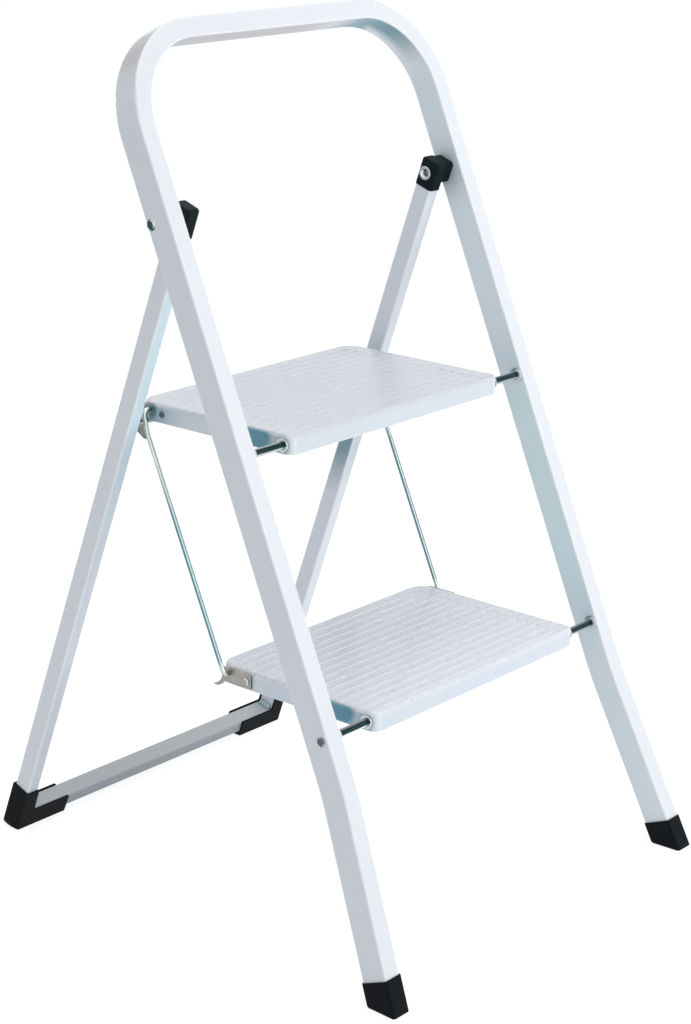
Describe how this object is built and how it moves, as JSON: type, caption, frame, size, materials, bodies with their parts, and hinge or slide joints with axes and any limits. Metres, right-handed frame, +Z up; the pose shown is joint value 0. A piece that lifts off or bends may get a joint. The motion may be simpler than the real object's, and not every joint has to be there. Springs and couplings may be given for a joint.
{
  "type": "folding step stool",
  "caption": "Folding step stool with a bent tube front frame and grip bar, hinged rear frame, ribbed sheet steps, link rods and black feet.",
  "frame": {"origin": "on the floor under the middle of the open stool's bounding box", "axes": "+X from the left leg to the right leg, +Y towards the rear frame (the stool is climbed from -Y), +Z up"},
  "size_m": [0.4886, 0.5828, 0.8621],
  "materials": {
    "front_coat": "satin powder coat",
    "rear_coat": "satin powder coat",
    "tread_coat": "fine textured powder coat",
    "boot_rubber": "matte",
    "foot_plastic": "satin",
    "cap_plastic": "satin",
    "bush_plastic": "satin natural",
    "bush_steel": "bright plated",
    "bar_coat": "satin powder coat",
    "rod_chrome": "bright plated",
    "rivet_steel": "bright",
    "plate_zinc": "satin zinc plate",
    "small_rivet_steel": "bright",
    "link_zinc": "satin zinc plate",
    "latch_zinc": "satin zinc plate",
    "retainer_steel": "dark spring steel"
  },
  "bodies": {
    "front": {"front_frame": "front_coat", "front_foot_left": "boot_rubber", "front_foot_right": "boot_rubber", "upper_pivot_rod": "rod_chrome", "lower_pivot_rod": "rod_chrome", "leg_bushes": "bush_plastic", "pivot_rivet_left": "rivet_steel", "pivot_rivet_right": "rivet_steel"},
    "rear_frame": {"rear_leg_left": "rear_coat", "rear_leg_right": "rear_coat", "rear_crossbar": "bar_coat", "rear_weld_beads": "rear_coat", "rear_foot_left": "foot_plastic", "rear_foot_right": "foot_plastic", "rear_cap_left": "cap_plastic", "rear_cap_right": "cap_plastic", "latch_rod": "latch_zinc"},
    "upper_step": {"upper_tread": "tread_coat", "upper_tread_bushes": "bush_steel", "upper_hook_left": "plate_zinc", "upper_hook_right": "plate_zinc", "upper_hook_rivets": "small_rivet_steel"},
    "lower_step": {"lower_tread": "tread_coat", "lower_tread_bushes": "bush_steel", "lower_bracket_left": "plate_zinc", "lower_bracket_right": "plate_zinc", "lower_bracket_rivets": "small_rivet_steel"},
    "left_link": {"link_rod_left": "link_zinc", "link_retainers_left": "retainer_steel"},
    "right_link": {"link_rod_right": "link_zinc", "link_retainers_right": "retainer_steel"}
  },
  "joints": [
    {"name": "step_fold", "type": "hinge", "parent": "front", "child": "upper_step", "pos_m": [0, -0.0761, 0.48357], "axis": [1, 0, 0], "range_deg": [0, 63.5]},
    {"name": "lower_step_fold", "type": "hinge", "parent": "front", "child": "lower_step", "pos_m": [0, -0.18152, 0.23522], "axis": [1, 0, 0], "range_deg": [0, 63.5]},
    {"name": "rear_frame_fold", "type": "hinge", "parent": "front", "child": "rear_frame", "pos_m": [0, 0.02704, 0.68585], "axis": [-1, 0, 0], "range_deg": [0, 41.5]},
    {"name": "left_link_turn", "type": "hinge", "parent": "upper_step", "child": "left_link", "pos_m": [0, 0.09989, 0.48657], "axis": [1, 0, 0], "range_deg": [-63.5, 0]},
    {"name": "right_link_turn", "type": "hinge", "parent": "upper_step", "child": "right_link", "pos_m": [0, 0.09989, 0.48657], "axis": [1, 0, 0], "range_deg": [-63.5, 0]}
  ],
  "couplings": [
    {"joint": "lower_step_fold", "follows": "step_fold", "ratio": 1},
    {"joint": "rear_frame_fold", "follows": "step_fold", "ratio": 0.6535},
    {"joint": "left_link_turn", "follows": "step_fold", "ratio": -1},
    {"joint": "right_link_turn", "follows": "step_fold", "ratio": -1}
  ]
}
